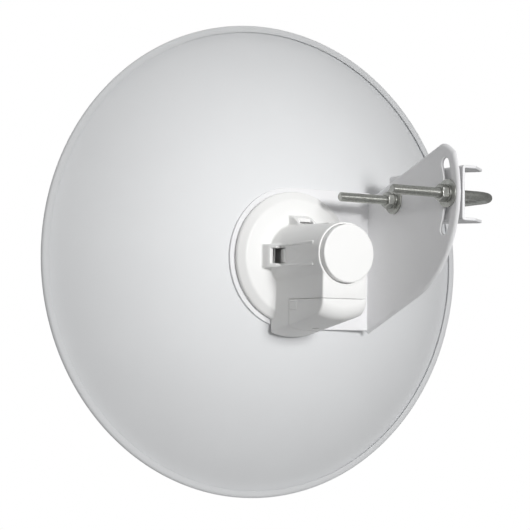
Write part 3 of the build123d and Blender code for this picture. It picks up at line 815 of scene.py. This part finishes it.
PAD_Y, DIP_Y = (101, 115), (102.6, 113.4)
LATCH_Y, HOOK_Y, GUIDE_POST_R = 84, (95.0, 98.8), 4.5


def right_of(u, v, a, b):
    """Distance to the line from a to b, positive on its right."""
    length = math.hypot(b[0] - a[0], b[1] - a[1])
    return ((u - a[0]) * (b[1] - a[1]) - (v - a[1]) * (b[0] - a[0])) / length


def skirt(x, y, z, inset=0.0):
    """Squared-off lower body: a cone about the dish axis between two flat sides."""
    slope = math.atan(SKIRT_TAPER)
    cone = np.hypot(x, z) - (SKIRT_R - inset - (y - SKIRT_Y) * SKIRT_TAPER)
    body = round_max(cone * math.cos(slope), y - END_Y + inset, SKIRT_ROUND - inset)
    side = np.abs(x) - SKIRT_HALF + inset
    if inset:
        return np.maximum(np.maximum(body, side), np.maximum(SKIRT_Y - y, z + 10))
    return np.maximum(round_max(body, side, 1.8), np.maximum(SKIRT_Y - y, z))


def guide_block(u, y, w):
    """Raised block on the tube, u outwards and w across."""
    slope = round_max(u - LUG_R, right_of(u, y, *LUG_SLOPE[:2]), 4)
    slope = round_max(slope, right_of(u, y, *LUG_SLOPE[1:]), 6)
    block = round_max(slope, np.abs(w) - LUG_HALF, 1.5)
    return np.maximum(block, np.maximum(span(y, *LUG_Y), LUG_ROOT_R - u))


def radial(x, z):
    """The three directions that carry a guide block, as (outwards, across)."""
    return ((x, z), (z, x), (-x, z))


def housing_inside(x, y, z, r):
    """Room in the base, the tube and the squared lower body."""
    base = np.maximum(r - HOUSING_R + 3, right_of(r, y, *HOLLOW[:2]))
    base = np.maximum(base, right_of(r, y, *HOLLOW[1:]))
    drawn = TUBE_R - WALL - (y - TUBE_Y) * TUBE_DRAFT
    bore = r - np.clip(drawn, BUTTON_R + 0.4, TUBE_R - WALL)
    bore = np.maximum(bore, BASE_FACE_Y - WALL - y)
    return np.minimum(np.minimum(base, bore), skirt(x, y, z, WALL))


def screw_spots():
    """Four places round the hub where the screws and their bosses stand."""
    for quarter in range(4):
        turn = math.radians(45 + 90 * quarter)
        yield SCREW_PITCH_R * math.cos(turn), SCREW_PITCH_R * math.sin(turn)


def rear_shell(x, y, z):
    """The whole rear housing, built up outside first and then hollowed and pierced."""
    r = np.hypot(x, z)
    edge, face = (HOUSING_R, BASE_EDGE_Y), (BASE_FACE_R, BASE_FACE_Y)
    base = round_max(r - HOUSING_R, right_of(r, y, edge, face), 1.2)
    base = round_max(base, right_of(r, y, face, (TUBE_R, TUBE_Y)), 0.8)
    base = round_max(base, FOOT - y, 0.4)
    tube = round_max(right_of(r, y, (TUBE_R, TUBE_Y), (TUBE_R_REAR, END_Y)), y - END_Y, 0.9)
    tube = np.maximum(tube, 66 - y)
    east, top, west = (guide_block(u, y, w) for u, w in radial(x, z))
    lower = round_min(skirt(x, y, z), np.minimum(east, west), 7)
    lower = round_min(lower, tube, 1.5)
    shell = round_min(round_min(lower, top, 1.5), base, 1.8)
    shell = cut(shell, housing_inside(x, y, z, r))
    for u, w in radial(x, z):
        pad = np.maximum(span(u, GUIDE_X, RECESS_X), np.abs(w) - LUG_HALF)
        shell = np.minimum(shell, np.maximum(pad, span(y, BASE_FACE_Y, BUTTON_FRONT_Y - 4)))
    for u, w in radial(x, z):
        w = np.abs(w)
        flat = np.maximum(np.maximum(RECESS_X - u, w - RECESS_HALF), FLAT_Y - y)
        slit = np.maximum(WINDOW_ROOT_R - u, w - WINDOW_HALF)
        window = np.maximum(slit, span(y, *WINDOW_Y))
        under = np.maximum(np.maximum(slit, guide_block(u + WALL, y + WALL, w)), UNDER_Y - y)
        shell = cut(cut(shell, flat, 0.5), np.minimum(window, under), 0.5)
    shell = cut(shell, round_max(COVER_Y - y, z - COVER_Z, 0.5), 0.35)
    inside = skirt(x, y, z, WALL - 0.1)
    floor = np.maximum(span(z, COVER_Z, COVER_Z + WALL), COVER_Y - WALL - y)
    wall = np.maximum(span(y, COVER_Y - WALL, COVER_Y), z - COVER_Z - WALL)
    shell = np.minimum(shell, np.maximum(np.minimum(floor, wall), inside))
    bulkhead = np.maximum(span(y, *BULKHEAD), r - BUTTON_R - 1)
    for u, w in radial(x, z):
        leg_room = span(u, LATCH_R - 0.5, LATCH_R + LATCH_T + 0.5)
        bulkhead = cut(bulkhead, np.maximum(leg_room, np.abs(w) - LATCH_HALF - 0.5))
    shell = np.minimum(shell, bulkhead)
    for post_y, post_z, root in BOARD_POSTS:
        spot = np.hypot(y - post_y, z - post_z)
        post = np.maximum(spot - POST_R, span(x, root, BOARD_X))
        bore = np.maximum(spot - POST_BORE_R, span(x, BOARD_X - 7, BOARD_X + 1))
        shell = cut(np.minimum(shell, post), bore)
    for boss_x, boss_z in screw_spots():
        spot = np.hypot(x - boss_x, z - boss_z)
        boss = np.maximum(spot - BOSS_R, span(y, PLATE_Y, BASE_FACE_Y - 1))
        bore = np.maximum(spot - SCREW_R - 0.05, span(y, PLATE_Y - 1, BASE_FACE_Y - 2.5))
        shell = cut(np.minimum(shell, boss), bore)
    through = span(z, COVER_Z - 1, COVER_Z + WALL + 1)
    jack_x = span(x, BOARD_FACE_X - 0.3, BOARD_FACE_X + JACK_SIZE[0] + 0.3)
    jack_hole = np.maximum(jack_x, np.abs(y - JACK_Y) - JACK_SIZE[1] / 2 - 0.3)
    reset_hole = np.hypot(x, y - RESET_Y) - RESET_R - 0.3
    beside = TONGUE_X[0] - TONGUE_ROOM - np.abs(x)
    along = span(y, TONGUE_Y[0] - TONGUE_ROOM, TONGUE_Y[1] + TONGUE_ROOM)
    tongue_room = np.maximum(np.maximum(beside, along), inside)
    for hole in (jack_hole, reset_hole, tongue_room):
        shell = cut(shell, np.maximum(hole, through), 0.2)
    return shell


def port_cover(x, y, z):
    """Lower half of the skirt, which slides down off its two tongues."""
    hollow = skirt(x, y, z, WALL)
    room = round_max(COVER_Y + SPLIT - y, z - COVER_Z + SPLIT, 0.5)
    shell = round_max(skirt(x, y, z), room, 0.35)
    shell = cut(shell, hollow)
    side = np.abs(x)
    tongue_box = (TONGUE_X, TONGUE_Y, (COVER_Z - 6, COVER_Z + 7))
    root_box = ((TONGUE_X[0], SKIRT_HALF - 1), TONGUE_Y, (COVER_Z - 6, COVER_Z - SPLIT))
    pad_box = ((24.0, SKIRT_HALF + 0.6), PAD_Y, (COVER_Z - 11, COVER_Z - 1.5))
    dip_box = ((SKIRT_HALF, SKIRT_HALF + 4), DIP_Y, (COVER_Z - 9.4, COVER_Z - 3.1))
    tongue, root = brick(side, y, z, tongue_box, 0.5), brick(side, y, z, root_box)
    pad = cut(brick(side, y, z, pad_box, 0.5), brick(side, y, z, dip_box, 0.5), 0.3)
    shell = np.minimum(shell, np.minimum(tongue, root))
    shell = round_min(shell, np.maximum(pad, SKIRT_HALF - 1 - side), 0.5)
    cable = np.maximum(np.hypot(x, y - CABLE_Y) - CABLE_R, z + 60)
    return cut(shell, cable, 0.5)


def release_button(x, y, z):
    """Cap over the tube's end, with a guide post and three hooked legs."""
    r = np.hypot(x, z)
    side = round_max(r - BUTTON_R, y - BUTTON_Y, 1.3)
    inside = round_max(r - BUTTON_R + 2, y - BUTTON_Y + 2, 1)
    cup = cut(np.maximum(side, BUTTON_FRONT_Y - y), inside)
    post = round_max(r - GUIDE_POST_R, BULKHEAD[1] + 4 - y, 0.6)
    shape = round_min(cup, np.maximum(post, y - BUTTON_Y + 1), 1)
    width = (-LATCH_HALF, LATCH_HALF)
    leg_box = ((LATCH_R, LATCH_R + LATCH_T), (LATCH_Y, BUTTON_Y - 1), width)
    for u, w in radial(x, z):
        leg = brick(u, y, w, leg_box, 0.4)
        hook = brick(u, y, w, ((LATCH_R, RECESS_X), HOOK_Y, width), 0.5)
        shape = np.minimum(shape, round_min(leg, hook, 0.6))
    return shape


def from_cad(name, node, field, voxel, most_faces):
    """Mesh of a field over a CAD node's box, in the antenna's millimetres."""
    return skin(name, field, [local(node)], voxel, AXIS, most_faces)


shell = from_cad("radio_shell", "rear_housing", rear_shell, 0.6, 190000)
cover = from_cad("cable_cover", "port_cover", port_cover, 0.5, 120000)
cap = from_cad("push_cap", "release_button", release_button, 0.5, 120000)
finish_piece(shell, "antenna", "white_plastic", "rear_housing")
finish_piece(cover, "port_cover", "white_plastic", "port_cover")
finish_piece(cap, "release_button", "white_plastic", "release_button")

# ---------------------------------------------------------------- return spring
COIL_R, WIRE_R, COIL_TURNS, END_TURNS, WIRE_SIDES = 8.0, 0.6, 5.5, 0.8, 12
SPRING_Y = (BULKHEAD[1], BUTTON_Y - 2.0)


def coil_rise(turns):
    """Share of the spring's height at each point, with closed turns at both ends."""
    closed = 2 * WIRE_R / (SPRING_Y[1] - SPRING_Y[0])
    stops = [0, END_TURNS, COIL_TURNS - END_TURNS, COIL_TURNS]
    return np.interp(turns, stops, [0, closed, 1 - closed, 1])


def return_spring():
    turns = np.linspace(0, COIL_TURNS, 241)
    angle = turns * 2 * math.pi
    low, high = SPRING_Y[0] + WIRE_R + 0.02, SPRING_Y[1] - WIRE_R - 0.02
    y = low + (high - low) * coil_rise(turns)
    centre = np.column_stack([COIL_R * np.cos(angle), y, COIL_R * np.sin(angle)])
    tangent = np.gradient(centre, axis=0)
    tangent /= np.linalg.norm(tangent, axis=1)[:, None]
    out = np.column_stack([np.cos(angle), np.zeros_like(angle), np.sin(angle)])
    across = np.cross(tangent, out)
    spin = np.linspace(0, 2 * math.pi, WIRE_SIDES, endpoint=False)
    ring = centre[:, None, :] + WIRE_R * (
        np.cos(spin)[None, :, None] * out[:, None, :]
        + np.sin(spin)[None, :, None] * across[:, None, :]
    )
    return swept("coil_spring", ring + np.array(AXIS))


spring = finish_piece(return_spring(), "antenna", "spring_steel", "button_spring")
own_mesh(spring)

# ---------------------------------------------------------------- hub and feed
FRONT_Y = HUB_Y - SHEET
FEED_R, FEED_REAR_Y, FEED_FRONT_Y = 19.0, 79.0, -62.0
FLARE_Y, TIP_R, TIP_Y = -40.0, 33.0, -80.0
SOCKET_R, SOCKET_T = 56.0, 3.2
COLLAR_REAR_Y, SEAL_SEAT = 76, 3.4
HEAD_R, HEAD_H, SCREW_END_Y = 4.0, 2.4, BASE_FACE_Y - 3
SCREW_PITCH, THREAD_DEPTH = 1.4, 0.25
CROSS_HALF, CROSS_REACH, CROSS_DEPTH = 0.5, 2.0, 1.1
TUBE_WALL, FLARE_WALL = 2, 2.3


def hub_gasket():
    inner, outer = HOUSING_R - 4.5, HOUSING_R - 0.5
    profile = [(inner, PLATE_Y), (outer, PLATE_Y), (outer, FOOT), (inner, FOOT)]
    return lathe("gasket_ring", rounded(profile, 0.4, 3), 160, AXIS)


def feed_socket(x, y, z):
    """Front ring with its collar, screwed through the bowl."""
    r = np.hypot(x, z)
    ring = round_max(r - SOCKET_R, FRONT_Y - SOCKET_T - y, 1.2)
    ring = np.maximum(ring, y - FRONT_Y)
    collar = np.maximum(r - FEED_HOLE_R + 0.3, span(y, FRONT_Y - SOCKET_T, COLLAR_REAR_Y))
    shape = np.minimum(ring, collar)
    shape = cut(shape, r - FEED_R - 0.35)
    shape = cut(shape, round_max(r - FEED_R - SEAL_SEAT, y - FRONT_Y + 1, 0.2), 0.4)
    for spot_x, spot_z in screw_spots():
        shape = cut(shape, np.hypot(x - spot_x, z - spot_z) - SCREW_R - 0.2)
    return shape


def feed_seal():
    inner, outer = FEED_R + 0.3, FEED_R + 3.35
    low, high = FRONT_Y - SOCKET_T + 0.1, FRONT_Y - 1
    profile = [
        (inner, low + 0.6),
        (inner + 0.9, low),
        (outer, low),
        (outer, high),
        (inner + 0.9, high),
        (inner, high - 0.6),
    ]
    return lathe("seal_ring", rounded(profile, 0.25, 3), 128, AXIS)


def hub_screw(x, y, z):
    """Pan-head screw about the Y axis with a cross recess."""
    r = np.hypot(x, z)
    seat = FRONT_Y - SOCKET_T
    head = round_max(r - HEAD_R, seat - HEAD_H - y, 1.4)
    head = np.maximum(head, y - seat)
    phase = (y / SCREW_PITCH - np.arctan2(z, x) / (2 * math.pi)) % 1.0
    thread = THREAD_DEPTH * np.abs(phase - 0.5)
    shank = np.maximum(r - SCREW_R + thread, span(y, seat - 0.5, SCREW_END_Y))
    u, w = np.abs(x), np.abs(z)
    one = np.maximum(u - CROSS_HALF, w - CROSS_REACH)
    other = np.maximum(w - CROSS_HALF, u - CROSS_REACH)
    recess = np.maximum(np.minimum(one, other), y - seat + CROSS_DEPTH)
    return cut(np.minimum(head, shank), recess, 0.15)


def hub_screws():
    head_y = FRONT_Y - SOCKET_T - HEAD_H
    box = ((-HEAD_R, head_y, -HEAD_R), (HEAD_R, SCREW_END_Y, HEAD_R))
    made = []
    for number, (x, z) in enumerate(screw_spots()):
        place = AXIS + Vector((x, 0, z))
        made.append(skin(f"screw_{number}", hub_screw, [box], 0.25, place, 22000))
    return joined("pan_head_screws", made)


def feed_tube():
    """Tube closed at the rear, flaring out at the front to meet the cap."""
    bore_r, floor_y = FEED_R - TUBE_WALL, FEED_REAR_Y - TUBE_WALL
    outside = [(0, FEED_REAR_Y), (FEED_R, FEED_REAR_Y), (FEED_R, FLARE_Y), (TIP_R, FEED_FRONT_Y)]
    inside = [(TIP_R - FLARE_WALL, FEED_FRONT_Y), (bore_r, FLARE_Y - 0.4)]
    inside += [(bore_r, floor_y), (0, floor_y)]
    return lathe("feed_body", rounded(outside + inside, 1.0), 160, AXIS)


def feed_cap():
    profile = [
        (TIP_R - 2, FEED_FRONT_Y),
        (TIP_R, FEED_FRONT_Y),
        (TIP_R, TIP_Y + 5),
        (TIP_R - 5, TIP_Y),
        (0, TIP_Y),
        (0, TIP_Y + 2),
        (TIP_R - 6, TIP_Y + 2),
        (TIP_R - 2, TIP_Y + 6),
    ]
    return lathe("feed_dome", rounded(profile, 1.6), 160, AXIS)


finish_piece(hub_gasket(), "antenna", "dark_rubber", "hub_gasket")
collar = from_cad("feed_collar", "feed_socket", feed_socket, 0.5, 90000)
finish_piece(collar, "antenna", "white_plastic", "feed_socket")
finish_piece(feed_seal(), "antenna", "dark_rubber", "feed_seal")
finish_piece(hub_screws(), "antenna", "stainless_screw", "hub_screws")
finish_piece(feed_tube(), "feed", "white_plastic", "feed_tube")
finish_piece(feed_cap(), "feed", "white_plastic", "feed_cap")

# ---------------------------------------------------------------- radio behind the cover


def jack(x, y, z):
    """Eight-way network socket, its mouth facing down."""
    half = JACK_SIZE[1] / 2
    sides = (BOARD_FACE_X, BOARD_FACE_X + JACK_SIZE[0])
    middle, mouth_z = BOARD_FACE_X + JACK_SIZE[0] / 2, JACK_Z[0]
    mouth_box = ((middle - 4, middle + 4), (JACK_Y - 6, JACK_Y + 6), (mouth_z - 9, mouth_z + 14))
    key_box = ((middle + 3, middle + 5.6), (JACK_Y - 3, JACK_Y + 3), (mouth_z - 9, mouth_z + 12))
    body = brick(x, y, z, (sides, (JACK_Y - half, JACK_Y + half), JACK_Z), 0.5)
    mouth, key = brick(x, y, z, mouth_box, 0.3), brick(x, y, z, key_box, 0.3)
    return cut(body, np.minimum(mouth, key), 0.25)


def reset_cap():
    top = COVER_Z + WALL
    profile = [
        (0, COVER_Z - 1.5),
        (RESET_R, COVER_Z - 1.5),
        (RESET_R, top + 0.1),
        (RESET_R + 1.2, top + 0.1),
        (RESET_R + 1.2, top + 1.2),
        (RESET_R, top + 1.2),
        (RESET_R, top + 4),
        (0, top + 4),
    ]
    place = AXIS + Vector((0, RESET_Y, 0))
    return lathe("reset_stem", rounded(profile, 0.3, 3), 48, place, axis="Z")


socket = from_cad("network_socket", "ethernet_jack", jack, 0.35, 60000)
finish_piece(socket, "antenna", "jack_black", "ethernet_jack")
finish_piece(reset_cap(), "reset_button", "button_grey", "reset_button")

# Pieces shut inside the housing and the feed keep their CAD shape. Each node takes its finish.
for entry in frame["record"]["subparts"]:
    kept = frame["nodes"][entry["node"]]
    kept.data.materials.clear()
    kept.data.materials.append(materials[entry["material_slot"]])

# ---------------------------------------------------------------- camera
CAMERA_PLACE = Vector((0.8984, 1.1833, -0.15235))
AZIMUTH, ELEVATION, ROLL = (math.radians(a) for a in (150.37, -3.117, 0.853))
LENS = 95.09

back = Vector(
    (
        math.cos(ELEVATION) * math.sin(AZIMUTH),
        -math.cos(ELEVATION) * math.cos(AZIMUTH),
        math.sin(ELEVATION),
    )
)
lens = bpy.data.cameras.new("camera")
lens.lens = LENS
lens.sensor_width = 36.0
camera = bpy.data.objects.new("camera", lens)
camera.matrix_world = (
    Matrix.Translation(CAMERA_PLACE)
    @ back.to_track_quat("Z", "Y").to_matrix().to_4x4()
    @ Matrix.Rotation(ROLL, 4, "Z")
)
bpy.context.scene.collection.objects.link(camera)
bpy.context.scene.camera = camera

# ---------------------------------------------------------------- light and floor
HUB = (AXIS + Vector((0, HUB_Y, 0))) * MM
KEY_PLACE = HUB + Vector((0.02, 1.65, 0.26))
KEY_POWER, KEY_CONE, KEY_SIZE = 79.0, math.radians(28), 0.16

beam = bpy.data.lights.new("key", "SPOT")
beam.energy = KEY_POWER
beam.spot_size = KEY_CONE
beam.spot_blend = 1.0
beam.shadow_soft_size = KEY_SIZE
key = bpy.data.objects.new("key", beam)
key.matrix_world = (
    Matrix.Translation(KEY_PLACE) @ (KEY_PLACE - HUB).to_track_quat("Z", "Y").to_matrix().to_4x4()
)
key.visible_camera = False
bpy.context.scene.collection.objects.link(key)


def far_light(name, direction, strength, blur):
    """Weak light from far away in a direction, blurred over an angle in degrees."""
    sun = bpy.data.lights.new(name, "SUN")
    sun.energy = strength
    sun.angle = math.radians(blur)
    holder = bpy.data.objects.new(name, sun)
    holder.matrix_world = Vector(direction).to_track_quat("Z", "Y").to_matrix().to_4x4()
    bpy.context.scene.collection.objects.link(holder)


far_light("top_fill", (0.0, 0.1, 1), 0.6, 50)
far_light("front_fill", (-0.1, -1, 0.25), 1.3, 30)

AMBIENT, BACKDROP = 0.255, 1.0
sky = bpy.data.worlds.new("studio")
sky.use_nodes = True
studio = sky.node_tree
glow = studio.nodes["Background"]
glow.inputs["Color"].default_value = (1, 1, 1, 1)
glow.inputs["Strength"].default_value = AMBIENT
backdrop = studio.nodes.new("ShaderNodeBackground")
backdrop.inputs["Strength"].default_value = BACKDROP
backdrop.inputs["Color"].default_value = (1, 1, 1, 1)
ray = studio.nodes.new("ShaderNodeLightPath")
either = studio.nodes.new("ShaderNodeMixShader")
studio.links.new(ray.outputs["Is Camera Ray"], either.inputs["Fac"])
studio.links.new(glow.outputs["Background"], either.inputs[1])
studio.links.new(backdrop.outputs["Background"], either.inputs[2])
studio.links.new(either.outputs["Shader"], studio.nodes["World Output"].inputs["Surface"])
bpy.context.scene.world = sky

FLOOR_Z, FLOOR_R = -1.5, 5.0
FLOOR_COLOUR, FLOOR_ROUGHNESS = (0.6, 0.6, 0.6, 1), 0.9
FLOOR_SEEN = 0.94  # brightness of the floor to the camera, just under the backdrop's
disc = bmesh.new()
bmesh.ops.create_circle(disc, cap_ends=True, segments=96, radius=FLOOR_R)
floor_mesh = bpy.data.meshes.new("floor")
disc.to_mesh(floor_mesh)
disc.free()
floor = bpy.data.objects.new("floor", floor_mesh)
floor.location.z = FLOOR_Z
bpy.context.scene.collection.objects.link(floor)
pale = bpy.data.materials.new("floor")
pale.use_nodes = True
nodes, links = pale.node_tree.nodes, pale.node_tree.links
nodes["Principled BSDF"].inputs["Base Color"].default_value = FLOOR_COLOUR
nodes["Principled BSDF"].inputs["Roughness"].default_value = FLOOR_ROUGHNESS
seen = nodes.new("ShaderNodeEmission")
seen.inputs["Strength"].default_value = FLOOR_SEEN
straight = nodes.new("ShaderNodeLightPath")
blend = nodes.new("ShaderNodeMixShader")
links.new(straight.outputs["Is Camera Ray"], blend.inputs["Fac"])
links.new(nodes["Principled BSDF"].outputs["BSDF"], blend.inputs[1])
links.new(seen.outputs["Emission"], blend.inputs[2])
links.new(blend.outputs["Shader"], nodes["Material Output"].inputs["Surface"])
floor.data.materials.append(pale)
bpy.context.scene.view_settings.view_transform = "Standard"
